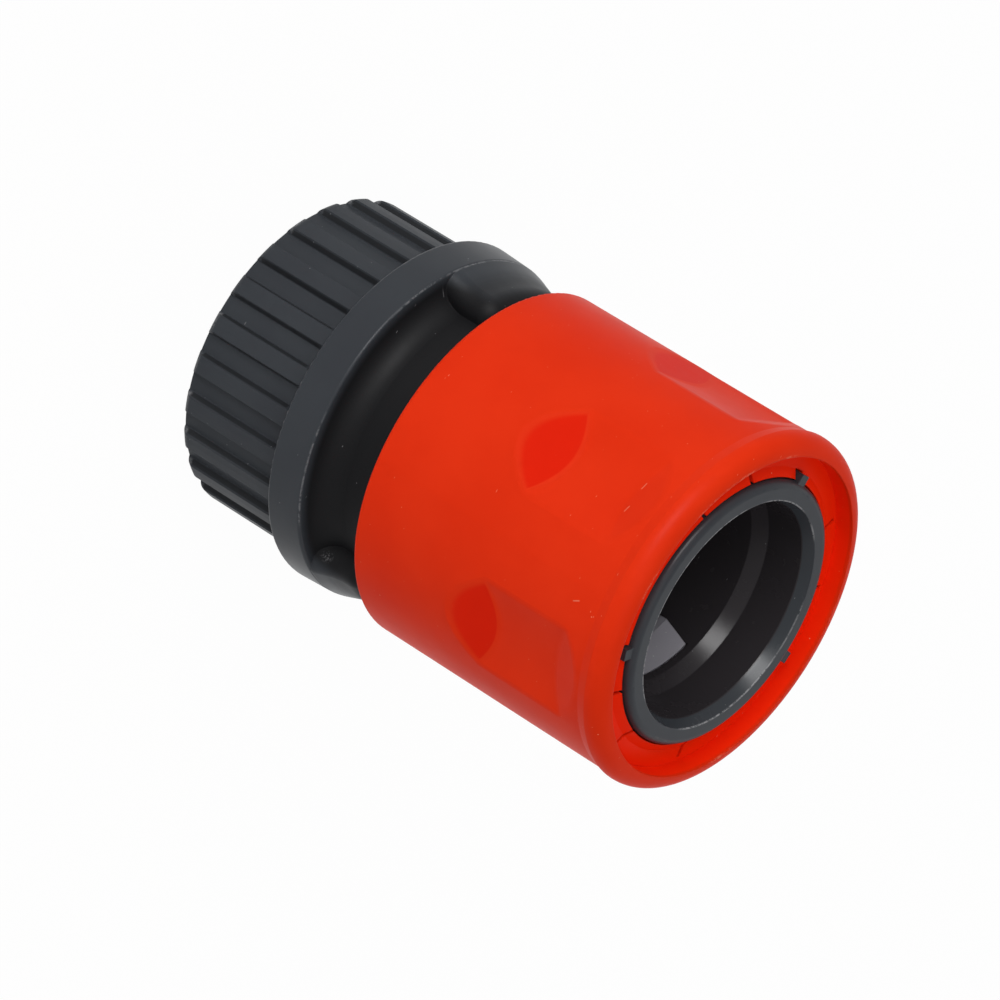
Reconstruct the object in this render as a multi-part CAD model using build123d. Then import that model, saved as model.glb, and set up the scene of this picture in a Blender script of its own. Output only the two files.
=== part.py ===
"""Garden hose quick connector for half-inch hose, standing on its hose nut.

The axis is +Z. The hose enters from below through the ribbed nut, and the tap or
spray adapter plugs into the socket at the top. Pulling the sleeve down towards the
flange draws the two locking claws out of the socket and lets the adapter go.
Lengths are millimetres, and a bearing is the angle round the axis from -Y to +X.
The first blocks hold the driving sizes. What they fix is worked out after them.
"""
from build123d import *
from math import atan2, cos, degrees, hypot, radians, sin, sqrt
import os

# Lengths along the axis, from the hose end to the socket
NUT_LENGTH = 12.1
NUT_TO_FLANGE = 0.3
FLANGE_THICKNESS = 3.8
FINGER_GAP = 6.85
SLEEVE_LENGTH = 29.45
NOSE_SETBACK = 0.5

# Running gaps and the rounding of small edges
SLIDE_GAP = 0.15
SEAT_GAP = 0.1
THREAD_GAP = 0.1
EDGE_ROUND = 0.3
EDGE_CHAMFER = 0.5

# How far a solid reaches into the one it joins, and a cutter past the face it opens
JOIN_DEPTH = 0.5
OVERRUN = 1.0

# Hose tail, which fits the hose's bore, and the pocket round it for the hose end
TAIL_RADIUS = 6.2
TAIL_WALL = 1.5
TAIL_SETBACK = 0.8
TAIL_TIP_STEP = 0.7
TAIL_TIP_LENGTH = 1.2
BARB_COUNT = 3
BARB_PITCH = 2.4
BARB_HEIGHT = 0.55
BARB_RAMP_SHARE = 0.8
BARB_SHARE = 0.95
POCKET_PAST_FLANGE = 4.8
POCKET_CORNER_ROUND = 0.8
SKIRT_WALL = 1.75

# Split collet that grips the hose
HOSE_ROOM = 3.35
COLLET_RING_HEIGHT = 1.0
COLLET_SLITS = 8
COLLET_SLIT_WIDTH = 1.1

# Hose nut with its seat for the collet and its thread
HOLE_CLEARANCE = 0.35
HOLE_FLARE = 0.6
NUT_REAR_WALL = 1.5
SEAT_CONE_HEIGHT = 3.7
SEAT_CONE_RISE = 1.9
SEAT_TO_SKIRT = 0.4
THREAD_LEDGE = 1.1
THREAD_DEPTH = 0.75
NUT_WALL = 1.9
NUT_EDGE_ROUND = 1.0
RIB_COUNT = 24
RIB_BEARING = -7.6
RIB_TOP_ANGLE = 6.0
RIB_FOOT_ANGLE = 8.4
RIB_HEIGHT = 0.72

# Socket, from the bore that the adapter's seal runs in outwards, and its depths below the nose
SEAL_RADIUS = 8.1
GUIDE_STEP = 1.85
MOUTH_STEP = 0.75
MOUTH_CHAMFER_WIDTH = 0.5
MOUTH_CHAMFER_HEIGHT = 1.1
TUBE_WALL = 2.3
NOSE_EDGE_ROUND = 0.7
MOUTH_DEPTH = 4.9
GUIDE_CONE = 1.4
SEAL_DEPTH = 13.4
SEAL_CONE = 1.6
SEAL_FLOOR_WALL = 6.0
SEAL_FLOOR_CONE = 3.0

# Flange, neck, the two shoulders between the finger pockets, and the collar that carries the spring
FLANGE_SETBACK = 0.1
FLANGE_DRAFT = 0.2
NECK_WALL = 0.9
NECK_FILLET = 2.4
SHOULDER_BEARINGS = (101, 281)
SHOULDER_SPAN = 66
SHOULDER_SETBACK = 0.25
SHOULDER_HEIGHT = 5.8
SHOULDER_SLOPE_LENGTH = 2.4
SHOULDER_SLOPE_DEPTH = 0.8
SHOULDER_HOLLOW_ROUND = 5.0
SHOULDER_ROUND = 2.0
SHOULDER_END_ROUND = 1.8
COLLAR_CONE = 1.0
COLLAR_HEIGHT = 1.5
COLLAR_INSET = 1.4

# Release sleeve, its ledge for the spring and its slit crown
SPRING_ROOM = 2.7
SLEEVE_WALL = 1.55
SLEEVE_TRAVEL = 3.6
SLEEVE_DRAFT = 0.05
REAR_RELIEF = 0.65
REAR_RELIEF_LENGTH = 4.2
REAR_RELIEF_CONE = 1.5
LIP_STANDOUT = 0.25
LIP_FLARE = 1.0
LIP_ROUND = 1.7
LIP_FLAT = 0.05
LEDGE_DEPTH = 12.5
LEDGE_HEIGHT = 1.4
LEDGE_CLEARANCE = 0.35
CROWN_DEPTH = 1.2
CROWN_HEIGHT = 1.2
CROWN_BEVEL = 0.8
SLIT_WIDTH = 0.4
SLIT_ROOT = 0.4
SLIT_BEARINGS = (-54, -27, 53, 79, 122, 205, 232)

# Finger recesses on the sleeve: a long rear ramp, a hollow floor and a short front ramp
RECESS_COUNT = 6
RECESS_BEARING = -14.5
RECESS_SETBACK = 3.1
RECESS_FRONT_RAMP = 3.1
RECESS_FLOOR_LENGTH = 6.35
RECESS_REAR_RAMP = 6.05
RECESS_DEPTH = 1.05
RECESS_HALF_WIDTH = 4.75
RECESS_SOFTNESS = 1.4

# Guide ribs on the nose, and the snap lugs that stop the sleeve
GUIDE_BEARINGS = (-86, 34, 178)
GUIDE_HEIGHT = 0.85
GUIDE_WIDTH = 1.1
GUIDE_SETBACK = 0.3
GUIDE_LENGTH = 4.3
LUG_BEARINGS = (40, 220)
LUG_HEIGHT = 1.3
LUG_LENGTH = 2.0
LUG_WIDTH = 5.0

# Locking claws, the sleeve's wedges that move them, and the return spring
CLAW_BEARINGS = (130, 310)
CLAW_HALF_WIDTH = 4.25
CLAW_REACH = 1.15
CLAW_DEPTH = 11.0
CLAW_HEIGHT = 3.8
CLAW_HEAD_DEPTH = 1.45
CLAW_STROKE = 1.0
CLAW_EDGE_LOW = 0.6
CLAW_EDGE_HIGH = 1.3
CLAW_UNDERCUT = 0.4
WING_WIDTH = 2.2
WEDGE_INSET = 1.8
WEDGE_GAP = 0.12
WEDGE_TIP_RISE = 2.4
SPRING_WIRE_RADIUS = 0.5
SPRING_TURNS = 4.5

# Heights above the nut's rear end
FLANGE_REAR = NUT_LENGTH + NUT_TO_FLANGE
FLANGE_FRONT = FLANGE_REAR + FLANGE_THICKNESS
SHOULDER_TOP = FLANGE_FRONT + SHOULDER_HEIGHT
HOSE_STOP = FLANGE_FRONT + POCKET_PAST_FLANGE
SLEEVE_REAR = FLANGE_FRONT + FINGER_GAP
SLEEVE_CREST = SLEEVE_REAR + SLEEVE_LENGTH
NOSE_FACE = SLEEVE_CREST - NOSE_SETBACK
SEAT_CONE_TOP = NUT_REAR_WALL + SEAT_CONE_HEIGHT
SKIRT_END = SEAT_CONE_TOP + SEAT_TO_SKIRT
COLLAR_BASE = SLEEVE_REAR + COLLAR_INSET
SPRING_SEAT = COLLAR_BASE + COLLAR_HEIGHT
MOUTH_FLOOR = NOSE_FACE - MOUTH_DEPTH
GUIDE_TOP = MOUTH_FLOOR - GUIDE_CONE
SEAL_TOP = NOSE_FACE - SEAL_DEPTH
SEAL_FLOOR = HOSE_STOP + SEAL_FLOOR_WALL
LEDGE_TOP = SLEEVE_CREST - LEDGE_DEPTH
LEDGE_BASE = LEDGE_TOP - LEDGE_HEIGHT
CROWN_TOP = SLEEVE_CREST - CROWN_DEPTH
CROWN_BASE = CROWN_TOP - CROWN_HEIGHT
CLAW_BOTTOM = NOSE_FACE - CLAW_DEPTH
CLAW_TOP = CLAW_BOTTOM + CLAW_HEIGHT
CLAW_HEAD_TOP = CROWN_BASE - SLEEVE_TRAVEL - SEAT_GAP
RECESS_FRONT = SLEEVE_CREST - RECESS_SETBACK
RECESS_FLOOR_FRONT = RECESS_FRONT - RECESS_FRONT_RAMP
RECESS_FLOOR_REAR = RECESS_FLOOR_FRONT - RECESS_FLOOR_LENGTH
RECESS_REAR = RECESS_FLOOR_REAR - RECESS_REAR_RAMP

# Radii on the socket's side
GUIDE_RADIUS = SEAL_RADIUS + GUIDE_STEP
MOUTH_RADIUS = GUIDE_RADIUS + MOUTH_STEP
MOUTH_EDGE_RADIUS = MOUTH_RADIUS + MOUTH_CHAMFER_WIDTH
TUBE_RADIUS = MOUTH_RADIUS + TUBE_WALL
SLEEVE_INNER_RADIUS = TUBE_RADIUS + SPRING_ROOM
SLEEVE_RADIUS = SLEEVE_INNER_RADIUS + SLEEVE_WALL
LIP_RADIUS = SLEEVE_RADIUS + LIP_STANDOUT
FLANGE_RADIUS = SLEEVE_RADIUS - FLANGE_SETBACK
SHOULDER_RADIUS = FLANGE_RADIUS - SHOULDER_SETBACK
SHOULDER_TOP_RADIUS = SHOULDER_RADIUS - SHOULDER_SLOPE_DEPTH
NECK_RADIUS = TUBE_RADIUS + NECK_WALL
CROWN_INNER_RADIUS = TUBE_RADIUS + SLIDE_GAP
LEDGE_INNER_RADIUS = TUBE_RADIUS + LEDGE_CLEARANCE
GUIDE_RIB_RADIUS = TUBE_RADIUS + GUIDE_HEIGHT
SPRING_MEAN_RADIUS = (TUBE_RADIUS + SLEEVE_INNER_RADIUS) / 2
CLAW_TIP_RADIUS = GUIDE_RADIUS - CLAW_REACH
CLAW_HEAD_INNER = TUBE_RADIUS + SLIDE_GAP
CLAW_HEAD_RADIUS = CLAW_HEAD_INNER + CLAW_HEAD_DEPTH
WEDGE_FOOT = TUBE_RADIUS - WEDGE_INSET
WEDGE_SLOPE = CLAW_STROKE / SLEEVE_TRAVEL
WEDGE_NEAR = CLAW_HALF_WIDTH + 2 * SLIDE_GAP
WEDGE_FAR = WEDGE_NEAR + WING_WIDTH

# Radii on the hose's side
TAIL_BORE_RADIUS = TAIL_RADIUS - TAIL_WALL
COLLET_INNER_RADIUS = TAIL_RADIUS + HOSE_ROOM
HOSE_HOLE_RADIUS = COLLET_INNER_RADIUS + HOLE_CLEARANCE
SEAT_CONE_RADIUS = HOSE_HOLE_RADIUS + SEAT_CONE_RISE
THREAD_RADIUS = SEAT_CONE_RADIUS + THREAD_LEDGE
NUT_BORE_RADIUS = THREAD_RADIUS + THREAD_GAP
NUT_FOOT_RADIUS = NUT_BORE_RADIUS + NUT_WALL
NUT_RIB_RADIUS = NUT_FOOT_RADIUS + RIB_HEIGHT
SKIRT_RADIUS = THREAD_RADIUS - THREAD_DEPTH
SKIRT_INNER_RADIUS = SKIRT_RADIUS - SKIRT_WALL


def turned(corners, span=360):
    """Solid of revolution. A corner is (radius, height) or (radius, height, rounding)."""
    outline = make_face(Polyline(*[corner[:2] for corner in corners], close=True))
    for corner in corners:
        if len(corner) == 3:
            vertex = outline.vertices().sort_by_distance((corner[0], corner[1], 0))[0]
            outline = fillet(vertex, corner[2])
    return revolve(Plane.XZ * outline, Axis.Z, span)


def at_bearing(bearing, shape):
    """Turn a shape drawn on the +X side to a bearing round the axis."""
    return Rot(0, 0, bearing - 90) * shape


def block(near, far, half_width, low, high):
    """Box on the +X side, from one radius to another and between two heights."""
    return Pos((near + far) / 2, 0, (low + high) / 2) * Box(far - near, 2 * half_width, high - low)


def rib_outline():
    """Section of one grip rib, which tapers from its foot to its top."""
    corners = []
    for angle, radius in (
        (-RIB_FOOT_ANGLE / 2, NUT_FOOT_RADIUS - JOIN_DEPTH),
        (-RIB_FOOT_ANGLE / 2, NUT_FOOT_RADIUS),
        (-RIB_TOP_ANGLE / 2, NUT_RIB_RADIUS),
        (0, NUT_RIB_RADIUS),
        (RIB_TOP_ANGLE / 2, NUT_RIB_RADIUS),
        (RIB_FOOT_ANGLE / 2, NUT_FOOT_RADIUS),
        (RIB_FOOT_ANGLE / 2, NUT_FOOT_RADIUS - JOIN_DEPTH),
    ):
        corners.append((radius * cos(radians(angle)), radius * sin(radians(angle))))
    return make_face(Polyline(*corners, close=True))


def hose_nut():
    """Ribbed nut with a straight run for the thread and a cone that closes the collet."""
    section = Circle(NUT_FOOT_RADIUS)
    for index in range(RIB_COUNT):
        section += at_bearing(RIB_BEARING + index * 360 / RIB_COUNT, rib_outline())
    blank = extrude(section, NUT_LENGTH)
    envelope = turned([
        (0, 0), (NUT_RIB_RADIUS, 0, NUT_EDGE_ROUND), (NUT_RIB_RADIUS, NUT_LENGTH, EDGE_ROUND),
        (0, NUT_LENGTH),
    ])
    bore_mouth = NUT_BORE_RADIUS + EDGE_CHAMFER
    inside = turned([
        (0, -OVERRUN), (HOSE_HOLE_RADIUS, -OVERRUN), (HOSE_HOLE_RADIUS, NUT_REAR_WALL),
        (SEAT_CONE_RADIUS, SEAT_CONE_TOP), (NUT_BORE_RADIUS, SEAT_CONE_TOP),
        (NUT_BORE_RADIUS, NUT_LENGTH - EDGE_CHAMFER), (bore_mouth, NUT_LENGTH),
        (bore_mouth, NUT_LENGTH + OVERRUN), (0, NUT_LENGTH + OVERRUN),
    ])
    hose_mouth = turned([
        (0, -OVERRUN), (HOSE_HOLE_RADIUS + HOLE_FLARE + OVERRUN, -OVERRUN),
        (HOSE_HOLE_RADIUS, HOLE_FLARE), (0, HOLE_FLARE),
    ])
    return (blank & envelope) - inside - hose_mouth


def clamp_collet():
    """Split ring: slit fingers with a cone outside, joined by a ring at the front."""
    low = NUT_REAR_WALL + SEAT_GAP
    high = SKIRT_END - SEAT_GAP
    slope = SEAT_CONE_RISE / SEAT_CONE_HEIGHT
    low_radius = HOSE_HOLE_RADIUS + slope * SEAT_GAP - SEAT_GAP
    high_radius = SEAT_CONE_RADIUS - SEAT_GAP
    ring = turned([
        (COLLET_INNER_RADIUS, low), (low_radius, low), (high_radius, SEAT_CONE_TOP), (high_radius, high),
        (COLLET_INNER_RADIUS + EDGE_CHAMFER, high), (COLLET_INNER_RADIUS, high - EDGE_CHAMFER),
    ])
    for index in range(COLLET_SLITS):
        slit = block(
            COLLET_INNER_RADIUS - OVERRUN, high_radius + OVERRUN, COLLET_SLIT_WIDTH / 2,
            0, high - COLLET_RING_HEIGHT,
        )
        ring -= at_bearing(index * 360 / COLLET_SLITS, slit)
    return ring


def hose_tail():
    """Barbed tube that the hose is pushed over."""
    tube = turned([
        (0, TAIL_SETBACK), (TAIL_RADIUS - TAIL_TIP_STEP, TAIL_SETBACK),
        (TAIL_RADIUS, TAIL_SETBACK + TAIL_TIP_LENGTH), (TAIL_RADIUS, HOSE_STOP + JOIN_DEPTH),
        (0, HOSE_STOP + JOIN_DEPTH),
    ])
    for index in range(BARB_COUNT):
        low = TAIL_SETBACK + TAIL_TIP_LENGTH + (index - 1) * BARB_PITCH + BARB_PITCH * BARB_SHARE
        tube += turned([
            (0, low), (TAIL_RADIUS - SLIDE_GAP, low),
            (TAIL_RADIUS + BARB_HEIGHT, low + BARB_PITCH * BARB_RAMP_SHARE),
            (TAIL_RADIUS - SLIDE_GAP, low + BARB_PITCH * BARB_SHARE), (0, low + BARB_PITCH * BARB_SHARE),
        ])
    return tube


def body_shoulder():
    """Rounded mass between flange and sleeve. The room left beside it is a finger pocket."""
    inner = TUBE_RADIUS - JOIN_DEPTH
    low = FLANGE_FRONT - JOIN_DEPTH
    sector = turned([
        (inner, low), (SHOULDER_RADIUS, low), (SHOULDER_RADIUS, FLANGE_FRONT),
        (SHOULDER_TOP_RADIUS, FLANGE_FRONT + SHOULDER_SLOPE_LENGTH, SHOULDER_HOLLOW_ROUND),
        (SHOULDER_TOP_RADIUS, SHOULDER_TOP, SHOULDER_ROUND), (inner, SHOULDER_TOP),
    ], SHOULDER_SPAN)
    end_faces = [face for face in sector.faces().filter_by(GeomType.PLANE) if round(face.normal_at().Z) == 0]
    rims = []
    for face in end_faces:
        for edge in face.edges():
            place = edge @ 0.5
            if place.Z > low + SEAT_GAP and hypot(place.X, place.Y) > inner + SEAT_GAP:
                rims.append(edge)
    sector = fillet(rims, SHOULDER_END_ROUND)
    middle = sector.center()
    return Rot(0, 0, -degrees(atan2(middle.Y, middle.X))) * sector


def body_outside():
    """Thread skirt, flange, neck, spring collar and socket tube, solid to the axis."""
    collar_radius = SLEEVE_INNER_RADIUS - SLIDE_GAP
    return turned([
        (0, SKIRT_END), (SKIRT_RADIUS - EDGE_CHAMFER, SKIRT_END), (SKIRT_RADIUS, SKIRT_END + EDGE_CHAMFER),
        (SKIRT_RADIUS, FLANGE_REAR), (FLANGE_RADIUS, FLANGE_REAR, EDGE_ROUND),
        (FLANGE_RADIUS - FLANGE_DRAFT, FLANGE_FRONT, EDGE_ROUND), (NECK_RADIUS, FLANGE_FRONT, NECK_FILLET),
        (NECK_RADIUS, COLLAR_BASE - COLLAR_CONE), (collar_radius, COLLAR_BASE),
        (collar_radius, SPRING_SEAT), (TUBE_RADIUS, SPRING_SEAT),
        (TUBE_RADIUS, NOSE_FACE, NOSE_EDGE_ROUND), (0, NOSE_FACE),
    ])


def hose_pocket():
    """Cutter for the room that takes the hose end round the tail."""
    return turned([
        (0, SKIRT_END - OVERRUN), (SKIRT_INNER_RADIUS + EDGE_CHAMFER, SKIRT_END - OVERRUN),
        (SKIRT_INNER_RADIUS + EDGE_CHAMFER, SKIRT_END), (SKIRT_INNER_RADIUS, SKIRT_END + EDGE_CHAMFER),
        (SKIRT_INNER_RADIUS, HOSE_STOP, POCKET_CORNER_ROUND), (0, HOSE_STOP),
    ])


def water_way():
    """Cutter for the tail's bore, the seal bore and the socket's mouth."""
    return turned([
        (0, 0), (TAIL_BORE_RADIUS, 0), (TAIL_BORE_RADIUS, SEAL_FLOOR - SEAL_FLOOR_CONE),
        (SEAL_RADIUS, SEAL_FLOOR), (SEAL_RADIUS, SEAL_TOP - SEAL_CONE), (GUIDE_RADIUS, SEAL_TOP),
        (GUIDE_RADIUS, GUIDE_TOP), (MOUTH_RADIUS, MOUTH_FLOOR),
        (MOUTH_RADIUS, NOSE_FACE - MOUTH_CHAMFER_HEIGHT), (MOUTH_EDGE_RADIUS, NOSE_FACE),
        (MOUTH_EDGE_RADIUS, NOSE_FACE + OVERRUN), (0, NOSE_FACE + OVERRUN),
    ])


def guide_rib():
    """Rib on the nose that keeps the sleeve from turning."""
    front = NOSE_FACE - GUIDE_SETBACK
    return block(TUBE_RADIUS - JOIN_DEPTH, GUIDE_RIB_RADIUS, GUIDE_WIDTH / 2, front - GUIDE_LENGTH, front)


def snap_lug():
    """Ramped lug that the sleeve's ledge snaps over, and that then stops the sleeve."""
    base = LEDGE_TOP + SEAT_GAP
    ring = turned([
        (TUBE_RADIUS - JOIN_DEPTH, base), (TUBE_RADIUS + LUG_HEIGHT, base),
        (TUBE_RADIUS, base + LUG_LENGTH), (TUBE_RADIUS - JOIN_DEPTH, base + LUG_LENGTH),
    ])
    return ring & block(0, SLEEVE_RADIUS, LUG_WIDTH / 2, base - OVERRUN, base + LUG_LENGTH + OVERRUN)


def claw_window():
    """Cutter for the window that a claw's jaw reaches through."""
    return block(
        SEAL_RADIUS - OVERRUN, TUBE_RADIUS + OVERRUN, CLAW_HALF_WIDTH + SLIDE_GAP,
        CLAW_BOTTOM - SLIDE_GAP, CLAW_TOP + SLIDE_GAP,
    )


def coupling_body():
    """Thread skirt, hose tail, flange, neck, spring collar and socket tube in one moulding."""
    body = body_outside()
    for bearing in SHOULDER_BEARINGS:
        body += at_bearing(bearing, body_shoulder())
    body = body - hose_pocket() + hose_tail() - water_way()
    for bearing in GUIDE_BEARINGS:
        body += at_bearing(bearing, guide_rib())
    for bearing in LUG_BEARINGS:
        body += at_bearing(bearing, snap_lug())
    for bearing in CLAW_BEARINGS:
        body -= at_bearing(bearing, claw_window())
    return body


def inside_wedge_face(gap):
    """All that lies nearer the axis than the sloping face shared by claw wings and sleeve wedges."""
    foot = WEDGE_FOOT - gap
    rise = WEDGE_SLOPE * (SLEEVE_CREST - CLAW_BOTTOM)
    side = make_face(Polyline(
        (0, CLAW_BOTTOM), (foot, CLAW_BOTTOM), (foot + rise, SLEEVE_CREST), (0, SLEEVE_CREST), close=True,
    ))
    return extrude(Plane.XZ * side, WEDGE_FAR + OVERRUN, both=True)


def locking_claw(bearing):
    """Jaw that reaches through its window, and a head outside with a sloping wing on each side."""
    neck = CLAW_HEAD_INNER + JOIN_DEPTH
    jaw = turned([
        (CLAW_TIP_RADIUS, CLAW_BOTTOM + CLAW_EDGE_LOW), (CLAW_TIP_RADIUS, CLAW_BOTTOM + CLAW_EDGE_HIGH),
        (GUIDE_RADIUS, CLAW_TOP), (neck, CLAW_TOP), (neck, CLAW_BOTTOM),
        (CLAW_TIP_RADIUS + CLAW_UNDERCUT, CLAW_BOTTOM),
    ])
    head = turned([
        (CLAW_HEAD_INNER, CLAW_BOTTOM), (CLAW_HEAD_RADIUS, CLAW_BOTTOM), (CLAW_HEAD_RADIUS, CLAW_HEAD_TOP),
        (CLAW_HEAD_INNER, CLAW_HEAD_TOP),
    ])
    jaw &= block(0, SLEEVE_RADIUS, CLAW_HALF_WIDTH, 0, SLEEVE_CREST)
    head &= block(0, SLEEVE_RADIUS, WEDGE_FAR, 0, SLEEVE_CREST)
    head -= inside_wedge_face(0)
    return at_bearing(bearing, jaw + head).solid()


def claw_wedges():
    """Pair of legs under the crown that slide down the tube and push a claw's wings outwards."""
    low = CLAW_BOTTOM + WEDGE_TIP_RISE
    high = CROWN_BASE + EDGE_ROUND
    legs = turned([
        (CROWN_INNER_RADIUS, low), (SLEEVE_INNER_RADIUS, low),
        (SLEEVE_INNER_RADIUS, high), (CROWN_INNER_RADIUS, high),
    ])
    legs &= inside_wedge_face(WEDGE_GAP)
    legs &= block(0, SLEEVE_RADIUS, WEDGE_FAR, 0, SLEEVE_CREST)
    return legs - block(0, SLEEVE_RADIUS, WEDGE_NEAR, 0, SLEEVE_CREST)


def finger_recess():
    """Cutter for one recess: a shallow trough with a long rear ramp and a short front one."""
    floor = SLEEVE_RADIUS - RECESS_DEPTH
    edge = sqrt(SLEEVE_RADIUS**2 - RECESS_HALF_WIDTH**2)
    trough_radius = (RECESS_HALF_WIDTH**2 + (edge - floor) ** 2) / (2 * (edge - floor))
    length = SLEEVE_CREST - SLEEVE_REAR
    trough = Pos(floor + trough_radius, 0, (SLEEVE_CREST + SLEEVE_REAR) / 2) * Cylinder(trough_radius, length)
    past = RECESS_DEPTH + OVERRUN
    rear_reach = past * RECESS_REAR_RAMP / RECESS_DEPTH
    front_reach = past * RECESS_FRONT_RAMP / RECESS_DEPTH
    side = make_face(Polyline(
        (floor, RECESS_FLOOR_REAR), (floor + past, RECESS_FLOOR_REAR - rear_reach),
        (floor + past, RECESS_FLOOR_FRONT + front_reach), (floor, RECESS_FLOOR_FRONT), close=True,
    ))
    return trough & extrude(Plane.XZ * side, RECESS_HALF_WIDTH + OVERRUN, both=True)


def is_recess_edge(edge):
    """Whether an edge of the shell bounds a finger recess or creases its floor."""
    middle = edge @ 0.5
    radius = hypot(middle.X, middle.Y)
    step = 360 / RECESS_COUNT
    turn = (degrees(atan2(middle.X, -middle.Y)) - RECESS_BEARING + step / 2) % step - step / 2
    beside = abs(radius * sin(radians(turn)))
    outside = radius > SLEEVE_INNER_RADIUS + SLIDE_GAP
    return outside and beside < RECESS_HALF_WIDTH + SLIDE_GAP and RECESS_REAR < middle.Z < RECESS_FRONT


def sleeve_shell():
    """Outer wall of the sleeve with its soft finger recesses."""
    relief_radius = SLEEVE_INNER_RADIUS + REAR_RELIEF
    relief_top = SLEEVE_REAR + REAR_RELIEF_LENGTH
    wall = turned([
        (relief_radius, SLEEVE_REAR), (SLEEVE_RADIUS - SLEEVE_DRAFT, SLEEVE_REAR, EDGE_ROUND),
        (SLEEVE_RADIUS, SLEEVE_CREST - LIP_ROUND - LIP_FLARE),
        (LIP_RADIUS, SLEEVE_CREST - LIP_ROUND - LIP_FLAT), (LIP_RADIUS, SLEEVE_CREST, LIP_ROUND),
        (SLEEVE_INNER_RADIUS, SLEEVE_CREST), (SLEEVE_INNER_RADIUS, relief_top),
        (relief_radius, relief_top - REAR_RELIEF_CONE),
    ])
    step = 360 / RECESS_COUNT
    shell = at_bearing(RECESS_BEARING + step / 2, wall)
    for index in range(RECESS_COUNT):
        shell -= at_bearing(RECESS_BEARING + index * step, finger_recess())
    return fillet([edge for edge in shell.edges() if is_recess_edge(edge)], RECESS_SOFTNESS)


def sleeve_ledge():
    """Ring inside the sleeve that the spring pushes on and that rests under the snap lugs."""
    outer = SLEEVE_INNER_RADIUS + JOIN_DEPTH
    return turned([
        (LEDGE_INNER_RADIUS, LEDGE_BASE), (outer, LEDGE_BASE), (outer, LEDGE_TOP),
        (LEDGE_INNER_RADIUS, LEDGE_TOP),
    ])


def sleeve_crown():
    """Slit ring just inside the lip, with slots for the guide ribs."""
    outer = SLEEVE_INNER_RADIUS + JOIN_DEPTH
    crown = turned([
        (CROWN_INNER_RADIUS, CROWN_BASE), (outer, CROWN_BASE), (outer, CROWN_TOP - CROWN_BEVEL),
        (CROWN_INNER_RADIUS + CROWN_BEVEL, CROWN_TOP - EDGE_CHAMFER), (CROWN_INNER_RADIUS, CROWN_TOP),
    ])
    for bearing in SLIT_BEARINGS:
        slit = block(0, SLEEVE_INNER_RADIUS - SLIT_ROOT, SLIT_WIDTH / 2, 0, SLEEVE_CREST)
        crown -= at_bearing(bearing, slit)
    for bearing in GUIDE_BEARINGS:
        slot = block(0, GUIDE_RIB_RADIUS + SLIDE_GAP, GUIDE_WIDTH / 2 + SLIDE_GAP, 0, SLEEVE_CREST)
        crown -= at_bearing(bearing, slot)
    return crown


def release_sleeve():
    """Pull-back sleeve with finger recesses, spring ledge, slit crown and claw wedges."""
    sleeve = sleeve_shell() + sleeve_ledge() + sleeve_crown()
    for bearing in CLAW_BEARINGS:
        sleeve += at_bearing(bearing, claw_wedges())
    return sleeve


def return_spring():
    """Coil spring between the body's collar and the sleeve's ledge."""
    low = SPRING_SEAT + SPRING_WIRE_RADIUS
    rise = LEDGE_BASE - SPRING_WIRE_RADIUS - low
    path = Helix(rise / SPRING_TURNS, rise, SPRING_MEAN_RADIUS, center=(0, 0, low))
    start = Plane(path @ 0, z_dir=path % 0)
    return sweep(start * Circle(SPRING_WIRE_RADIUS), path=path)


def main():
    os.makedirs("parts", exist_ok=True)
    parts = {
        "hose_nut": hose_nut(),
        "clamp_collet": clamp_collet(),
        "coupling_body": coupling_body(),
        "release_sleeve": release_sleeve(),
        "return_spring": return_spring(),
    }
    for number, bearing in enumerate(CLAW_BEARINGS, start=1):
        parts[f"locking_claw_{number}"] = locking_claw(bearing)
    for name, solid in parts.items():
        export_step(solid, f"parts/{name}.step")
        print(f"{name}: {solid.volume:.1f} mm3")


main()
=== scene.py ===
# %% [markdown]
# # A garden hose quick connector
# The real connector is a stack of mouldings round one axis. At the bottom a ribbed nut clamps
# the hose on a barbed tail. In the middle is the dark body with its flange. At the top an orange
# sleeve slides on the body and works two claws that lock a plug-in adapter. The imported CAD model
# already holds every piece at its real size, so this file never moves one. It sets up the view
# and the light of the photograph, gives each plastic and the spring wire a finish, and models
# the two screw threads that the CAD model leaves out.

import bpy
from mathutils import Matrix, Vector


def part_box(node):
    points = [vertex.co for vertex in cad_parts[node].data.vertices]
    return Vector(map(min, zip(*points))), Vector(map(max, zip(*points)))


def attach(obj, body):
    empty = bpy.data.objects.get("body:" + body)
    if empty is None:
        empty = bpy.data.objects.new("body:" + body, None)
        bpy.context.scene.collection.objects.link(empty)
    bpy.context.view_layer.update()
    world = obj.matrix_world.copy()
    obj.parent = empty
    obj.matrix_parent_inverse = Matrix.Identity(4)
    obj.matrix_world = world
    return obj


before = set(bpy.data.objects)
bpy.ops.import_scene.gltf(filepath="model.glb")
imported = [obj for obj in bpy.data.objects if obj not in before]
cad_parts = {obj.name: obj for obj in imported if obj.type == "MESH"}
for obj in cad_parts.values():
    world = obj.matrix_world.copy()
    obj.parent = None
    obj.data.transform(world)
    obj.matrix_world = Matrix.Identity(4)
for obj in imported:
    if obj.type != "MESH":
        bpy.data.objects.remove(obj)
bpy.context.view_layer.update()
print("CAD nodes:", ", ".join(sorted(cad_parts)))

# %% Libraries and measures
from math import cos, pi, radians, sin, tau

import bpy
from mathutils import Matrix, Vector

MM = 0.001
sleeve_low, sleeve_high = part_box("release_sleeve")
body_low, body_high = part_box("coupling_body")
nut_low, nut_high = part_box("hose_nut")
across, long = 2000 * sleeve_high.x, 1000 * sleeve_high.z
print(f"Sleeve {across:.1f} mm across, whole connector {long:.1f} mm long")

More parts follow.
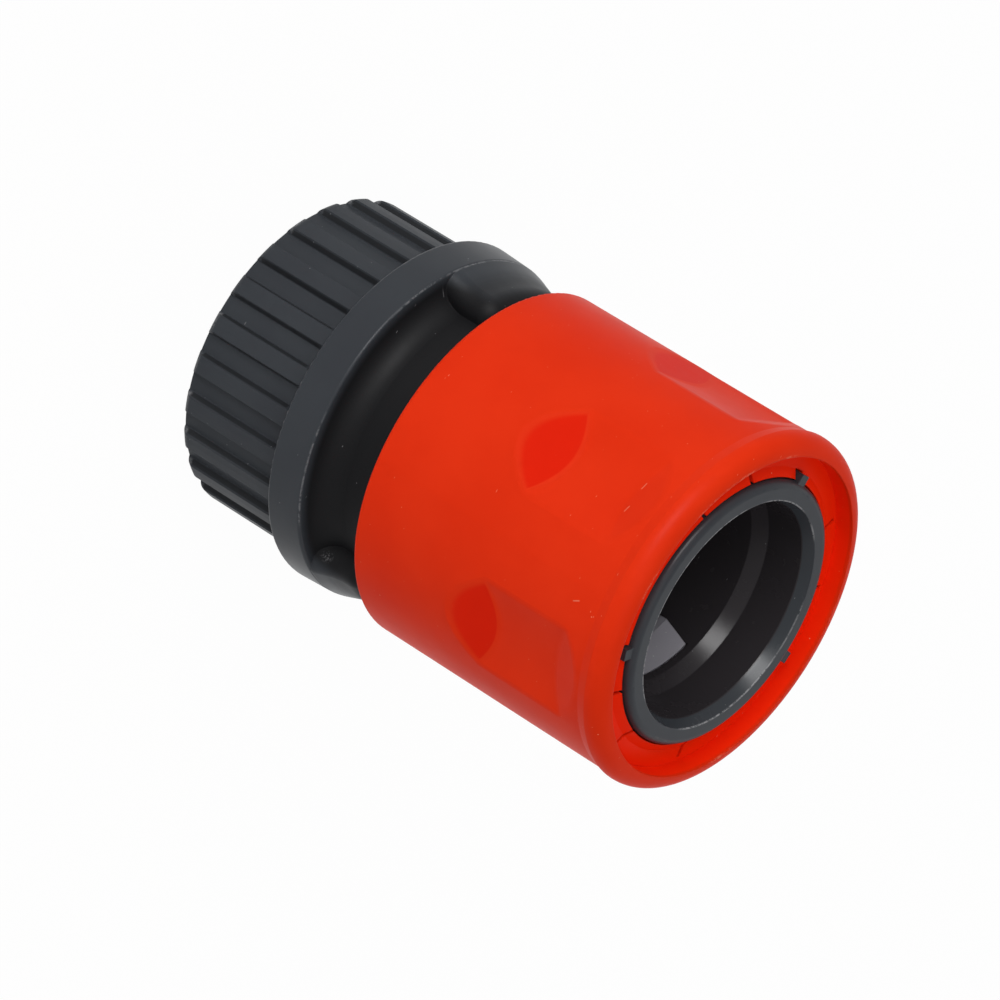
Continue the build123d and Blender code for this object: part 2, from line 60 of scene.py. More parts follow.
# %% [markdown]
# ## The camera
# The photograph was taken from about 65 cm with a long lens, so the rims show as nearly equal
# ellipses. The camera looks down by 30.6 degrees at the connector, which stands on its nut, and
# is rolled far over, and that is why the picture shows it lying aslant. A camera in Blender
# looks along its own -Z. It is turned up from looking straight down, rolled about its own axis,
# and then carried to its place.

# %% Camera
CAMERA_PLACE = Vector((2.02, -557.02, 355.65)) * MM
CAMERA_DROP = radians(30.61)
CAMERA_ROLL = radians(121.85)
CAMERA_LENS = 262.19

camera_data = bpy.data.cameras.new("photo_camera")
camera_data.lens = CAMERA_LENS
camera = bpy.data.objects.new("photo_camera", camera_data)
bpy.context.scene.collection.objects.link(camera)
look = Matrix.Rotation(pi / 2 - CAMERA_DROP, 4, "X") @ Matrix.Rotation(CAMERA_ROLL, 4, "Z")
camera.matrix_world = Matrix.Translation(CAMERA_PLACE) @ look
bpy.context.scene.camera = camera
bpy.context.scene.view_settings.view_transform = "Standard"
print("Camera distance:", round((CAMERA_PLACE - Vector((0, 0, sleeve_high.z / 2))).length, 3), "m")

# %% [markdown]
# ## Arithmetic with nodes
# A finish is a formula: distance from a rim, times a broken-up noise, mixed into a colour.
# Written out node by node such a formula takes a screenful. The small class below wraps one
# socket, and an expression such as `1 - mask * 0.5` then adds the Math nodes by itself. Every
# other node comes from one method, `node`, which sets the node's settings first and then the
# values or links of its sockets.

# %% A socket that can be used in arithmetic
class Signal:
    """A value on its way through a shader's nodes."""

    def __init__(self, tree, socket=None):
        self.tree = tree
        self.socket = socket

    def node(self, kind, sockets=None, output=0, **settings):
        """Add a node of a type and return one of its outputs."""
        made = self.tree.nodes.new("ShaderNode" + kind)
        for name, value in settings.items():
            setattr(made, name, value)
        for key, value in (sockets or {}).items():
            if isinstance(value, Signal):
                self.tree.links.new(value.socket, made.inputs[key])
            else:
                made.inputs[key].default_value = value
        return Signal(self.tree, made.outputs[output] if made.outputs else None)

    def out(self, name):
        """Another output of the node that this one comes from."""
        return Signal(self.tree, self.socket.node.outputs[name])

    def math(self, operation, first, second):
        return self.node("Math", {0: first, 1: second}, operation=operation)

    def __add__(self, other):
        return self.math("ADD", self, other)

    def __radd__(self, other):
        return self.math("ADD", other, self)

    def __sub__(self, other):
        return self.math("SUBTRACT", self, other)

    def __rsub__(self, other):
        return self.math("SUBTRACT", other, self)

    def __mul__(self, other):
        return self.math("MULTIPLY", self, other)

    def __rmul__(self, other):
        return self.math("MULTIPLY", other, self)

    def __pow__(self, other):
        return self.math("POWER", self, other)

    def __lt__(self, other):
        return self.math("LESS_THAN", self, other)

    def __abs__(self):
        return self.math("ABSOLUTE", self, 0)

    def maximum(self, other):
        return self.math("MAXIMUM", self, other)


def new_material(name):
    """An empty material and a Signal to start its nodes from."""
    material = bpy.data.materials.new(name)
    material.use_nodes = True
    material.node_tree.nodes.clear()
    return material, Signal(material.node_tree)


# %% [markdown]
# ## Light and background
# The photograph is a cut-out on white. Read round the sleeve, its light is strongest at a
# bearing of 25 degrees to the left of the camera, falls evenly to both sides and never goes
# below half. One big area lamp stands for it, a weak one above lifts the rims of the mouth, a
# weak one behind keeps the back from going dark, and the white world does the rest. The glints
# on the rims of the socket lie where a mirror would show the big lamp, so one more lamp stands
# there that only shows in reflections. The camera, and whatever is mirrored in the plastic,
# should see plain white, but the light that really falls on the object has to stay moderate.
# Light Path tells these rays apart: it gives a strength of 1 to what is seen and a lower one to
# what only lights.

# %% Rays that see the background
def seen_rays(start):
    """1 for rays that show the background to the camera: straight, mirrored or through glass."""
    path = start.node("LightPath", output="Is Camera Ray")
    return path.maximum(path.out("Is Glossy Ray")).maximum(path.out("Is Transmission Ray"))


# %% World
WORLD_LEVEL = 0.32

world = bpy.data.worlds.new("white_room")
bpy.context.scene.world = world
world.use_nodes = True
world.node_tree.nodes.clear()
start = Signal(world.node_tree)
dim = start.node("Background", {"Color": (1, 1, 1, 1), "Strength": WORLD_LEVEL})
bright = start.node("Background", {"Color": (1, 1, 1, 1), "Strength": 1.0})
room = start.node("MixShader", {0: seen_rays(start), 1: dim, 2: bright})
start.node("OutputWorld", {"Surface": room})
print("World level:", WORLD_LEVEL)

# %% Lamps
OBJECT_MIDDLE = Vector((0, 0, sleeve_high.z / 2))


def soft_lamp(name, direction, distance, size, power, lights=True, mirrored=True):
    """A square area lamp that shines on the middle of the object from a direction."""
    data = bpy.data.lights.new(name, "AREA")
    data.size = size
    data.energy = power
    lamp = bpy.data.objects.new(name, data)
    bpy.context.scene.collection.objects.link(lamp)
    towards = Vector(direction).normalized()
    lamp.location = OBJECT_MIDDLE + towards * distance
    lamp.rotation_euler = towards.to_track_quat("Z", "Y").to_euler()
    lamp.visible_diffuse = lights
    lamp.visible_glossy = mirrored
    print(f"{name}: {power} W, {size} m, from {tuple(round(v, 2) for v in towards)}")


soft_lamp("key_lamp", direction=(-0.42, -0.80, 0.32), distance=0.9, size=0.6, power=4.0)
soft_lamp("fill_lamp", direction=(0.15, -0.45, 1.0), distance=0.9, size=0.6, power=1.6)
soft_lamp("back_lamp", (0.3, 1.0, 0.3), distance=0.9, size=0.6, power=1.8, mirrored=False)
soft_lamp("glint_lamp", (-0.42, -0.80, 0.38), distance=0.9, size=0.34, power=9.0, lights=False)

# %% Floor
FLOOR_RADIUS = 4.0
FLOOR_DROP = 0.02 * MM
FLOOR_OWN_LIGHT = 0.97

bpy.ops.object.select_all(action="DESELECT")
bpy.ops.mesh.primitive_circle_add(
    vertices=96, radius=FLOOR_RADIUS, fill_type="NGON", location=(0, 0, -FLOOR_DROP)
)
floor = bpy.context.object
floor.name = "floor"
pale, start = new_material("pale_floor")
lit = start.node("BsdfDiffuse", {"Color": (0.94, 0.94, 0.94, 1)})
glow = start.node("Emission", {"Color": (1, 1, 1, 1), "Strength": 1.0})
ground = start.node("MixShader", {0: seen_rays(start) * FLOOR_OWN_LIGHT, 1: lit, 2: glow})
start.node("OutputMaterial", {"Surface": ground})
floor.data.materials.append(pale)
print("Floor radius:", FLOOR_RADIUS, "m")

# %% [markdown]
# ## Patterns that the finishes share
# Moulded plastic is never one flat colour. The melt leaves faint clouds in the tint, the tool's
# skin leaves a fine grain, handling adds a few short scratches and pale specks, and the sharp
# rims go whitish where they rub. Each of these is a small function of the place on the object,
# in metres, so the patterns keep their real size and stay put when a piece moves.

# %% Places, noise and soft steps
def place_on(start):
    """The place of a point on the object, in metres."""
    return start.node("TexCoord", output="Object")


def noise(place, size, detail=2.0, roughness=0.5):
    """Cloudy noise from 0 to 1, with clouds about as large as size."""
    sockets = {"Vector": place, "Scale": 1 / size, "Detail": detail, "Roughness": roughness}
    return place.node("TexNoise", sockets, output="Fac")


def soft_step(value, low, high):
    """0 below low and 1 above high, with a smooth change between."""
    sockets = {"Value": value, "From Min": low, "From Max": high}
    return value.node("MapRange", sockets, interpolation_type="SMOOTHSTEP")


def mix_colours(share, first, second):
    """One colour turning into another as the share goes from 0 to 1."""
    sockets = {0: share, 6: first, 7: second}
    return share.node("Mix", sockets, output=2, data_type="RGBA")


# %% [markdown]
# Nearly every mark on this object follows its axis, so two measures do most of the work: how
# far a point lies from the axis, and how high it is. A ring between two radii and two heights
# is then four soft steps multiplied.

# %% Round the axis
def radius_and_height(place):
    """Distance from the connector's axis, and height above its foot."""
    across = place.node("SeparateXYZ", {"Vector": place}, output="X")
    along = across.out("Y")
    return (across * across + along * along) ** 0.5, across.out("Z")


def inside_ring(place, inner, outer, low, high, blur):
    """1 between two radii and two heights, 0 outside them, blurred at the limits."""
    radius, height = radius_and_height(place)
    past_inner = soft_step(radius, inner - blur, inner + blur)
    past_outer = soft_step(radius, outer - blur, outer + blur)
    past_low = soft_step(height, low - blur, low + blur)
    past_high = soft_step(height, high - blur, high + blur)
    return past_inner * (1 - past_outer) * past_low * (1 - past_high)


# %% Specks, scratches and scuffs
def specks(place, spacing, size, share):
    """Small round dots in a share of the cells of an invisible grid."""
    cells = place.node("TexVoronoi", {"Vector": place, "Scale": 1 / spacing}, output="Distance")
    chosen = cells.out("Color").node("SeparateColor", {"Color": cells.out("Color")}) < share
    return (1 - soft_step(cells, 0.5 * size / spacing, size / spacing)) * chosen


def scratches(place, turn, length, width, share):
    """Short straight scratches that all run one way, given by a turn in three angles."""
    stretch = (1 / length, 1 / width / 4, 1 / width / 4)
    turned = place.node("Mapping", {"Vector": place, "Rotation": turn, "Scale": stretch})
    cells = turned.node("TexVoronoi", {"Vector": turned, "Scale": 1.0}, output="Distance")
    chosen = cells.out("Color").node("SeparateColor", {"Color": cells.out("Color")}) < share
    return (1 - soft_step(cells, 0.1, 0.25)) * chosen


def scuff(place, centre, direction, reach):
    """A patch of fine rubbing marks round one point, all running one way."""
    away = place.node("VectorMath", {0: place, 1: centre}, output="Value", operation="DISTANCE")
    unit = tuple(Vector(direction).normalized())
    along = place.node("VectorMath", {0: place, 1: unit}, output="Value", operation="DOT_PRODUCT")
    pressed = along.node("VectorMath", {0: unit, "Scale": along * 0.93}, operation="SCALE")
    drawn = place.node("VectorMath", {0: place, 1: pressed}, operation="SUBTRACT")
    lines = drawn.node("TexNoise", {"Vector": drawn, "Scale": 1 / (0.12 * MM)}, output="Fac")
    return (1 - soft_step(away, 0.3 * reach, reach)) * soft_step(lines, 0.5, 0.62)


# %% [markdown]
# A few scratches are singled out, because the eye finds them at once on the real piece. Such a
# mark is a short segment on a face. Three dot products say how far a point lies along the
# segment, how far beside it and how far above or below the face.

# %% One scratch
def scratch_at(place, middle, outward, direction, length, width):
    """A straight scratch round one point of a face that looks outward."""
    way = place.node("VectorMath", {0: place, 1: middle}, operation="SUBTRACT")
    run = Vector(direction).normalized()
    distances = []
    for axis in (run, run.cross(Vector(outward)).normalized(), Vector(outward)):
        product = way.node(
            "VectorMath", {0: way, 1: tuple(axis)}, output="Value", operation="DOT_PRODUCT"
        )
        distances.append(abs(product))
    along, beside, off_face = distances
    inside = 1 - soft_step(along, 0.35 * length, 0.5 * length)
    near = 1 - soft_step(off_face, 0.9 * MM, 1.0 * MM)
    return inside * near * (1 - soft_step(beside, 0.25 * width, 0.6 * width))


def on_bearing(bearing, radius, height):
    """A point by its bearing in degrees from -Y towards +X, its radius and its height."""
    turn = radians(bearing)
    return radius * sin(turn), -radius * cos(turn), height


def surface_scratch(place, bearing, radius, height, slope, length, width):
    """A scratch on a round wall. The slope is its run round the axis for each step upwards."""
    turn = radians(bearing)
    outward = on_bearing(bearing, 1, 0)
    direction = (cos(turn) * slope, sin(turn) * slope, 1)
    middle = on_bearing(bearing, radius, height)
    return scratch_at(place, middle, outward, direction, length, width)


# %% [markdown]
# A worn rim isn't an even line. It starts and stops over a centimetre or so, and inside such a
# stretch it is broken up again, finer than a millimetre. Two noises multiplied give both.

# %% Worn rims, and a painted highlight on the sleeve's lip
def rim_wear_and_highlight(place, rims):
    """Pale wear along round rims, on the sleeve's lip partly a painted highlight. A rim is
    (radius, height, width, worn share, strength).
    """
    radius, height = radius_and_height(place)
    stretches = noise(place, 7 * MM, detail=1.0)
    broken = noise(place, 0.5 * MM, detail=4.0, roughness=0.75)
    worn = None
    for rim_radius, rim_height, width, share, strength in rims:
        out_by = radius - rim_radius
        up_by = height - rim_height
        away = (out_by * out_by + up_by * up_by) ** 0.5
        band = 1 - soft_step(away, 0.3 * width, width)
        where = soft_step(stretches, 0.72 - 0.45 * share, 0.82 - 0.4 * share)
        mark = band * where * soft_step(broken, 0.54 - 0.2 * share, 0.7 - 0.2 * share)
        worn = mark * strength if worn is None else worn.maximum(mark * strength)
    return worn


# %% [markdown]
# ## Moulded plastic
# The nut, the body and the sleeve are the same kind of hard plastic in two colours, so one
# function makes them all. The tint wanders a little, the roughness wanders more, and a bump
# of a few thousandths of a millimetre gives the satin skin. Some places differ from the rest,
# and each such zone brings its own colour and a change of roughness. The Bevel node softens the
# look of the sharp moulded edges so that they catch a line of light, as real edges do. In the
# photograph the plastics mirror a dark room, so they are told to mirror less than the usual
# 4 percent.

# %% Plastic builder
PLASTIC_MIRROR = 0.12
CLOUD_SIZE = 7 * MM
SKIN_SIZE = 2.5 * MM
GRAIN_SIZE = 0.16 * MM
SPECK_SPACING = 2.1 * MM
SPECK_SIZE = 0.085 * MM
EDGE_SOFTNESS = 0.12 * MM
RELIEF_DEPTH = 0.006 * MM


def moulded_plastic(
    name, colours, roughness, marks, worn_places=None, zones=(), mirror=PLASTIC_MIRROR
):
    """Satin injection-moulded plastic with clouds, grain, specks, scratches and wear."""
    material, start = new_material(name)
    place = place_on(start)
    clouds = noise(place, CLOUD_SIZE, detail=3.0)
    grain = noise(place, GRAIN_SIZE, detail=2.0)
    skin = noise(place, SKIN_SIZE, detail=4.0, roughness=0.6)
    tint = mix_colours(soft_step(clouds, 0.3, 0.7), colours["clouded"], colours["plain"])
    rough = roughness - 0.06 + 0.12 * skin
    for zone_places, zone_colour, rougher in zones:
        zone = zone_places(place)
        tint = mix_colours(zone, tint, zone_colour)
        rough = rough + rougher * zone
    dots = specks(place, SPECK_SPACING, SPECK_SIZE, 0.3 * marks)
    fine = scratches(place, (0.4, 0.9, 0.3), 0.9 * MM, 0.05 * MM, 0.01 * marks)
    cross = scratches(place, (1.2, -0.6, 1.9), 0.7 * MM, 0.04 * MM, 0.01 * marks)
    pale = (dots * 0.8).maximum(fine * 0.6).maximum(cross * 0.6)
    if worn_places:
        pale = pale.maximum(worn_places(place))
    shown = mix_colours(pale, tint, colours["worn"])
    edge = start.node("Bevel", {"Radius": EDGE_SOFTNESS}, samples=4)
    relief = grain * 0.6 + skin * 1.5 - pale * 0.8
    bump = start.node(
        "Bump", {"Strength": 0.5, "Distance": RELIEF_DEPTH, "Height": relief, "Normal": edge}
    )
    surface = start.node(
        "BsdfPrincipled",
        {
            "Base Color": shown, "Roughness": rough + 0.15 * pale, "Normal": bump,
            "IOR": 1.46, "Specular IOR Level": mirror,
        },
    )
    start.node("OutputMaterial", {"Surface": surface})
    return material


def dress(names, material):
    """Give CAD nodes their finish through their own material slots."""
    for name in names:
        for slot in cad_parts[name].material_slots:
            slot.material = material
    print(f"{material.name}: {', '.join(names)}")


# %% [markdown]
# ## The dark plastic
# Nut and body are a near-black grey with a blue breath in it. The rims that rub on taps and
# sacks have gone pale: the nut's rear rim, both rims of the flange and, sharpest of all, the
# edge of the socket's mouth. The two ends of the finger pocket carry a small scuff each. The
# neck, deep in the pocket, is painted almost black as painted shade and is dull. The socket
# carries a darker, warmer painted shade with a painted reflection of the orange sleeve, and the
# flanks of the nut's ribs carry painted shade, darker than their tops.

# %% Where the body and the nut are worn
FLANGE_REAR = 12.4 * MM
FLANGE_FRONT = 16.2 * MM
NECK_RADIUS = 13.2 * MM
NECK_TOP = 24.0 * MM
SHOULDER_RADIUS = 16.2 * MM
SOCKET_FLOOR = 22 * MM
MOUTH_RADIUS = 11.2 * MM
MOUTH_CHAMFER = 0.6 * MM
NOSE_RADIUS = 12.8 * MM
FLANK_FOOT = 15.0 * MM
FLANK_TOP = 15.45 * MM
flange_radius = body_high.x
body_rims = [
    (MOUTH_RADIUS, body_high.z, 0.13 * MM, 0.8, 1.0),
    (NOSE_RADIUS, body_high.z - 0.2 * MM, 0.12 * MM, 0.2, 0.4),
    (flange_radius - 0.25 * MM, FLANGE_FRONT - 0.05 * MM, 0.14 * MM, 0.6, 0.4),
    (flange_radius, FLANGE_REAR + 0.1 * MM, 0.14 * MM, 0.6, 0.4),
]
nut_rims = [(nut_high.x - 0.2 * MM, 0.35 * MM, 0.5 * MM, 0.75, 0.45)]


def body_wear(place):
    """The body's worn rims, with the marks at the two ends of the finger pocket."""
    corner = scuff(place, on_bearing(67, 15.7 * MM, 17.4 * MM), on_bearing(157, 1, 0.3), 1.0 * MM)
    nick = surface_scratch(place, -44, 16 * MM, 16.9 * MM, 0.5, 1.6 * MM, 0.1 * MM)
    return rim_wear_and_highlight(place, body_rims).maximum(corner * 0.45).maximum(nick * 0.3)


def nut_wear(place):
    """The nut's worn rear rim."""
    return rim_wear_and_highlight(place, nut_rims)


# %% Zones of the body and the nut
def on_neck(place):
    """The neck between the shoulders, deep in the finger pockets."""
    low = FLANGE_FRONT - 0.5 * MM
    return inside_ring(place, NECK_RADIUS, SHOULDER_RADIUS, low, NECK_TOP, 0.5 * MM)


def in_socket(place):
    """The walls of the socket, below its chamfer."""
    high = body_high.z - 0.9 * MM
    return inside_ring(place, -MM, MOUTH_RADIUS - 0.3 * MM, SOCKET_FLOOR, high, 0.1 * MM)


def on_chamfer(place):
    """The chamfer at the socket's mouth."""
    inner, outer = MOUTH_RADIUS - MOUTH_CHAMFER, MOUTH_RADIUS + 0.1 * MM
    return inside_ring(place, inner, outer, body_high.z - MM, body_high.z, 0.05 * MM)


def on_rib_flanks(place):
    """The sides of the nut's ribs."""
    high = nut_high.z - MM
    return 0.85 * inside_ring(place, FLANK_FOOT, FLANK_TOP, 0.6 * MM, high, 0.05 * MM)


# %% Dark finishes
DARK = {
    "plain": (0.042, 0.047, 0.054, 1),
    "clouded": (0.037, 0.041, 0.048, 1),
    "worn": (0.30, 0.30, 0.31, 1),
}
# Painted shade: the neck deep in the finger pockets is painted almost black for the shade there.
NECK_PAINTED_SHADE = (0.007, 0.007, 0.008, 1)
# Painted shade on the flanks of the nut's ribs, darker than their tops.
FLANK_PAINTED_SHADE = (0.016, 0.017, 0.019, 1)
# Painted shade inside the socket, warm-tinted as a painted reflection of the orange sleeve.
SOCKET_PAINTED_SHADE = (0.033, 0.029, 0.032, 1)
body_plastic = moulded_plastic(
    "body_plastic", DARK, roughness=0.34, marks=0.4, worn_places=body_wear,
    zones=[
        (on_neck, NECK_PAINTED_SHADE, 0.25), (in_socket, SOCKET_PAINTED_SHADE, -0.08),
        (on_chamfer, DARK["plain"], -0.08),
    ],
)
nut_plastic = moulded_plastic(
    "nut_plastic", DARK, roughness=0.45, marks=0.4, worn_places=nut_wear,
    zones=[(on_rib_flanks, FLANK_PAINTED_SHADE, 0.0)],
)
dress(["coupling_body"], body_plastic)
dress(["hose_nut"], nut_plastic)

# %% [markdown]
# ## The orange sleeve
# The sleeve is the part that hands touch, so its colour has to read at once from afar. The
# plastic is a saturated red-orange with a satin skin. The rear ramps of the finger recesses
# face away from the light and carry painted shade in a deeper colour. The inner wall carries
# a painted glow, a brighter orange for the light that bounces between orange walls. Three
# bright scratches lie at the front ends of the recesses and on the wall between them.

# %% Where the sleeve is worn, and its lip's painted highlight
SLEEVE_RADIUS = 17.25 * MM
SLEEVE_SCRATCHES = [(-19.6, 46.7, -7.7), (-10.8, 46.8, -6.4), (20, 47.4, -0.5)]
# The pale streaks along the lip are partly wear and partly a painted highlight on its rounded
# crest.
lip_wear_and_highlight = [
    (sleeve_high.x - 1.7 * MM, sleeve_high.z, 0.2 * MM, 0.45, 0.45),
    (sleeve_high.x - 0.5 * MM, sleeve_high.z - 0.9 * MM, 0.12 * MM, 0.35, 0.45),
]


def sleeve_wear_and_highlight(place):
    """The lip of the sleeve, worn and with a painted highlight along it, and its three scratches.
    """
    worn = rim_wear_and_highlight(place, lip_wear_and_highlight)
    for bearing, height, slope in SLEEVE_SCRATCHES:
        scratch = surface_scratch(
            place, bearing, 16.8 * MM, height * MM, slope, 0.8 * MM, 0.12 * MM
        )
        worn = worn.maximum(scratch * 0.55)
    return worn


# %% Zones of the sleeve
FIRST_RECESS = -14.5
RECESS_SPACING = 60
RECESS_HALF_SPAN = 11
RAMP_START = 31 * MM
RAMP_END = 39.4 * MM
RAMP_BULGE = 0.9 * MM
RECESS_BOTTOM = 15.9 * MM
SLEEVE_BORE = 15.95 * MM


def on_rear_ramps(place):
    """The rear ramps of the six recesses, whose front ends bulge forwards in the middle."""
    across = place.node("SeparateXYZ", {"Vector": place}, output="X")
    bearing = across.math("ARCTAN2", across, across.out("Y") * -1)
    from_recess = bearing - radians(FIRST_RECESS)
    half = radians(RECESS_SPACING / 2)
    beside = from_recess.node("Math", {0: from_recess, 1: half, 2: -half}, operation="WRAP")
    height = radius_and_height(place)[1]
    end = RAMP_END - RAMP_BULGE * (beside * (1 / radians(RECESS_HALF_SPAN))) ** 2
    outer = SLEEVE_RADIUS - 0.17 * MM
    ramps = inside_ring(place, RECESS_BOTTOM, outer, RAMP_START, 42 * MM, 0.07 * MM)
    return ramps * (1 - soft_step(height - end, -0.1 * MM, 0.1 * MM))


def inside_mouth(place):
    """The sleeve's inner wall behind its lip."""
    return inside_ring(place, 0, SLEEVE_BORE, 36 * MM, 52.2 * MM, 0.15 * MM)


# %% Sleeve finish
ORANGE = {
    "plain": (0.80, 0.034, 0.006, 1),
    "clouded": (0.77, 0.030, 0.005, 1),
    # Pale colour of wear, also used for the painted highlight streaks along the lip.
    "worn": (0.87, 0.30, 0.18, 1),
}
# Painted shade on the rear ramps of the recesses, in a deeper orange.
RAMP_PAINTED_SHADE = (0.76, 0.014, 0.001, 1)
# Painted glow on the inner wall: a brighter orange for the light bounced between its orange walls.
MOUTH_PAINTED_GLOW = (0.93, 0.024, 0.002, 1)
sleeve_plastic = moulded_plastic(
    "sleeve_plastic", ORANGE, roughness=0.4, marks=0.5, worn_places=sleeve_wear_and_highlight,
    zones=[(on_rear_ramps, RAMP_PAINTED_SHADE, 0.0), (inside_mouth, MOUTH_PAINTED_GLOW, 0.0)], mirror=0.03,
)
dress(["release_sleeve"], sleeve_plastic)

# %% [markdown]
# ## The pale inner mouldings
# The claws and the collet work hard and are moulded in a tougher natural grey plastic. One
# claw shows through its window deep in the socket.

# %% Claw and collet finish
PALE_GREY = {
    "plain": (0.31, 0.30, 0.33, 1),
    "clouded": (0.27, 0.26, 0.29, 1),
    "worn": (0.5, 0.5, 0.5, 1),
}
claw_plastic = moulded_plastic("claw_plastic", PALE_GREY, roughness=0.45, marks=0.6)
collet_plastic = moulded_plastic("collet_plastic", PALE_GREY, roughness=0.5, marks=0.6)
dress(["locking_claw_1", "locking_claw_2"], claw_plastic)
dress(["clamp_collet"], collet_plastic)

# %% [markdown]
# ## The screw threads
# The nut draws itself up on the body by a coarse thread with a lead of 3 mm. The CAD model has
# plain cylinders there, so the two ridges are modelled here. A thread is one small section
# carried round and up at once, which is what the Screw modifier does. The section starts as a
# plane: stood upright, sized, set at its radius and narrowed at its crest. Both ridges follow
# the same right-hand helix, half a lead apart, so they stay clear of each other however far the
# nut is turned. A moulded thread doesn't end square. Each end is cut off at a slant, so that
# the ridge runs out into its wall.

# %% Measures of the thread
THREAD_LEAD = 3.0 * MM
RIDGE_FOOT_WIDTH = 1.7 * MM
RIDGE_CREST_WIDTH = 0.6 * MM
RIDGE_ROOT = 0.2 * MM
STEPS_PER_TURN = 90
BODY_HELIX_START = 6.4 * MM
NUT_HELIX_START = BODY_HELIX_START - THREAD_LEAD / 2


# %% Section of a ridge
def ridge_section(name, foot, crest, height):
    """A closed outline in the XZ plane, wide at the foot radius and narrow at the crest."""
    bpy.ops.object.select_all(action="DESELECT")
    bpy.ops.mesh.primitive_plane_add(size=1, location=(0, 0, 0), rotation=(pi / 2, 0, 0))
    ridge = bpy.context.object
    ridge.name = name
    ridge.data.name = name
    bpy.ops.object.transform_apply(location=True, rotation=True, scale=True)
    bpy.ops.object.mode_set(mode="EDIT")
    bpy.ops.transform.resize(
        value=(abs(crest - foot), 1, RIDGE_FOOT_WIDTH), center_override=(0, 0, 0)
    )
    bpy.ops.transform.translate(value=((foot + crest) / 2, 0, height))
    bpy.ops.mesh.delete(type="ONLY_FACE")
    bpy.ops.object.mode_set(mode="OBJECT")
    for vertex in ridge.data.vertices:
        vertex.select = abs(vertex.co.x - crest) < abs(vertex.co.x - foot)
    for edge in ridge.data.edges:
        edge.select = all(ridge.data.vertices[index].select for index in edge.vertices)
    bpy.ops.object.mode_set(mode="EDIT")
    share = RIDGE_CREST_WIDTH / RIDGE_FOOT_WIDTH
    bpy.ops.transform.resize(value=(1, 1, share), center_override=(crest, 0, height))
    bpy.ops.object.mode_set(mode="OBJECT")
    return ridge


# %% [markdown]
# The slanted end cut is a bisect. Its plane leans so that the ridge loses height over about
# 10 degrees of turn. The ridge inside the nut curves towards its plane, so there the plane
# stands steeper. A helix passes the same place once a turn, so only the faces near the end are
# selected for the cut, by their height as well as their side.

# %% Slanted ends
def run_out(ridge, helix_start, height, crest, foot, at_top):
    """Cut one end of a ridge off with a plane that leans from its foot to its crest."""
    end_turn = tau * (height - helix_start) / THREAD_LEAD
    ahead = 1 if at_top else -1
    radial = Vector((cos(end_turn), sin(end_turn), 0))
    onward = Vector((-sin(end_turn), cos(end_turn), 0)) * ahead
    outward, steepness = (1, 0.25) if crest > foot else (-1, 0.6)
    normal = (onward * steepness + radial * outward).normalized()
    point = radial * foot - onward * 0.2 * MM
    for face in ridge.data.polygons:
        centre = face.center
        near = ahead * (height - centre.z) < 0.4 * THREAD_LEAD
        beside = centre.xy.normalized().dot(radial.xy) > cos(radians(35))
        face.select = near and beside
    bpy.ops.object.mode_set(mode="EDIT")
    bpy.ops.mesh.bisect(plane_co=point, plane_no=normal, use_fill=True, clear_outer=True)
    bpy.ops.object.mode_set(mode="OBJECT")


# %% Thread builder
def close_mesh():
    """Close every hole of the active object's mesh and turn its faces outwards."""
    bpy.ops.object.mode_set(mode="EDIT")
    bpy.ops.mesh.select_mode(type="FACE")
    bpy.ops.mesh.select_all(action="SELECT")
    bpy.ops.mesh.fill_holes(sides=0)
    bpy.ops.mesh.select_all(action="SELECT")
    bpy.ops.mesh.normals_make_consistent(inside=False)
    bpy.ops.mesh.select_all(action="DESELECT")
    bpy.ops.object.mode_set(mode="OBJECT")


def screw_thread(name, foot, crest, helix_start, low, high, body, material):
    """A right-hand ridge round the axis, from a low to a high point on its helix."""
    ridge = ridge_section(name, foot, crest, low)
    turns = (high - low) / THREAD_LEAD
    screw = ridge.modifiers.new("screw", "SCREW")
    screw.axis = "Z"
    screw.angle = tau * turns
    screw.screw_offset = high - low
    screw.steps = round(STEPS_PER_TURN * turns)
    screw.render_steps = screw.steps
    screw.use_merge_vertices = False
    bpy.ops.object.modifier_apply(modifier="screw")
    ridge.rotation_euler.z = tau * (low - helix_start) / THREAD_LEAD
    bpy.ops.object.transform_apply(location=True, rotation=True, scale=True)
    close_mesh()
    run_out(ridge, helix_start, low, crest, foot, at_top=False)
    run_out(ridge, helix_start, high, crest, foot, at_top=True)
    close_mesh()
    bpy.ops.object.shade_smooth_by_angle(angle=radians(25))
    ridge.data.materials.append(material)
    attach(ridge, body)
    print(f"{name}: {turns:.2f} turns, {len(ridge.data.polygons)} faces")
    return ridge


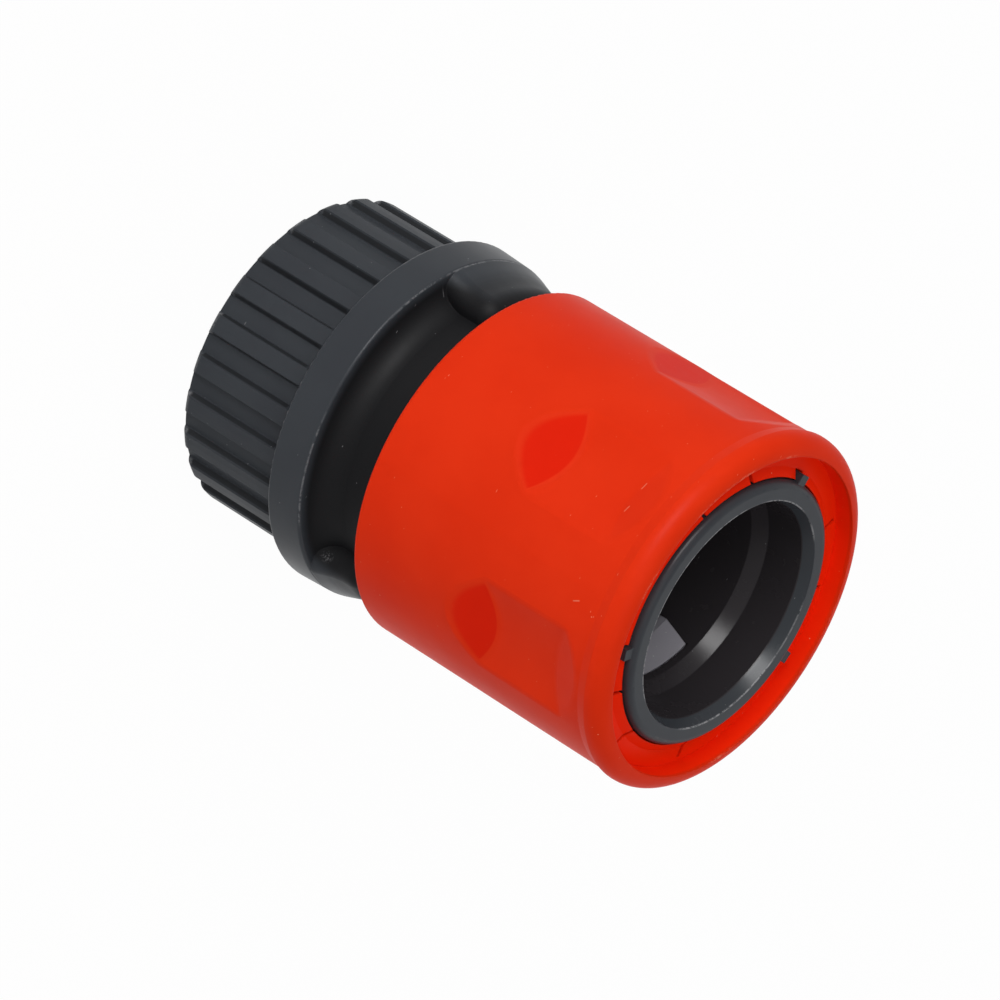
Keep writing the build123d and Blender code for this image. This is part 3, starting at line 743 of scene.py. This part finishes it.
# %% The two threads
SKIRT_RADIUS = 12.15 * MM
NUT_BORE = 13.0 * MM
body_thread = screw_thread(
    "body_thread", foot=SKIRT_RADIUS - RIDGE_ROOT, crest=12.85 * MM, helix_start=BODY_HELIX_START,
    low=6.7 * MM, high=11.4 * MM, body="coupling", material=body_plastic,
)
nut_thread = screw_thread(
    "nut_thread", foot=NUT_BORE + RIDGE_ROOT, crest=12.3 * MM, helix_start=NUT_HELIX_START,
    low=6.3 * MM, high=11.0 * MM, body="nut", material=nut_plastic,
)

# %% [markdown]
# ## The spring wire
# Spring wire is pulled through a die, and the die leaves fine lines along it. The lines have to
# follow the coil, so they are drawn on a coordinate that climbs with the helix: the height less
# the pitch times the turn round the axis. Noise that is short across that coordinate and long
# round the axis gives streaks.

# %% Spring finish
SPRING_TURNS = 4.5
spring_low, spring_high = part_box("return_spring")
wire_radius = 0.5 * MM
spring_pitch = (spring_high.z - spring_low.z - 2 * wire_radius) / SPRING_TURNS

spring_steel, start = new_material("spring_steel")
place = place_on(start)
split = place.node("SeparateXYZ", {"Vector": place}, output="X")
turn_round = start.math("ARCTAN2", split.out("Y"), split)
climb = split.out("Z") - turn_round * (spring_pitch / tau)
radius = (split * split + split.out("Y") * split.out("Y")) ** 0.5
on_wire = start.node("CombineXYZ", {"X": radius * 12000, "Y": climb * 12000, "Z": turn_round * 6})
streaks = on_wire.node("TexNoise", {"Vector": on_wire, "Scale": 1.0, "Detail": 3.0}, output="Fac")
steel_tint = mix_colours(streaks, (0.50, 0.50, 0.51, 1), (0.68, 0.68, 0.69, 1))
wire_bump = start.node("Bump", {"Strength": 0.4, "Distance": 0.004 * MM, "Height": streaks})
steel = start.node(
    "BsdfPrincipled",
    {
        "Base Color": steel_tint, "Metallic": 1.0, "Roughness": 0.2 + 0.2 * streaks,
        "Normal": wire_bump,
    },
)
start.node("OutputMaterial", {"Surface": steel})
dress(["return_spring"], spring_steel)
print(f"Spring pitch {1000 * spring_pitch:.2f} mm")
